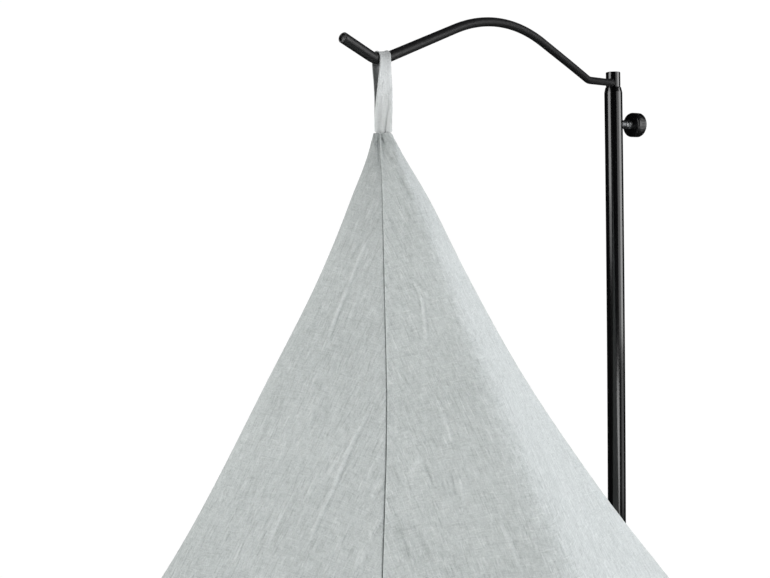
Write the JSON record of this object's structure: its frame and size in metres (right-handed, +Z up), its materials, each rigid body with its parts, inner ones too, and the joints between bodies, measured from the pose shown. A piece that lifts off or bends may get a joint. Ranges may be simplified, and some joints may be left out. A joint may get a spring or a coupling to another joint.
{
  "type": "bed canopy with its floor stand",
  "caption": "Tent-shaped linen bed canopy hanging by a sewn loop from the bent rod arm of a black tube floor stand with a clamp knob.",
  "frame": {"origin": "on the pole's axis at the underside of the base plate", "axes": "+Z up along the pole; -Y is the side of the canopy's front seam; +X to the right of it, the canopy's long way"},
  "size_m": [1.6057, 1.2209, 1.5308],
  "materials": {
    "linen": "matt slubby plain weave, pale grey-green",
    "loop_linen": "matt plain weave, pale grey",
    "gloss_black": "glossy black powder paint",
    "satin_black": "satin black powder paint",
    "zinc": "zinc plated, turned",
    "black_plastic": "fine satin moulding"
  },
  "bodies": {
    "stand": {"panel_left": "linen", "panel_right": "linen", "hanging_loop": "loop_linen", "arm": "satin_black", "top_tube": "gloss_black", "pole": "gloss_black", "base_plate": "gloss_black", "clamp_boss": "zinc"},
    "knob": {"clamp_knob": "black_plastic", "clamp_screw": "zinc"}
  },
  "joints": [
    {"name": "knob_turn", "type": "hinge", "parent": "stand", "child": "knob", "pos_m": [0, 0, 1.4335], "axis": [0.9092, 0.4163, 0], "range_deg": [0, 360]}
  ]
}
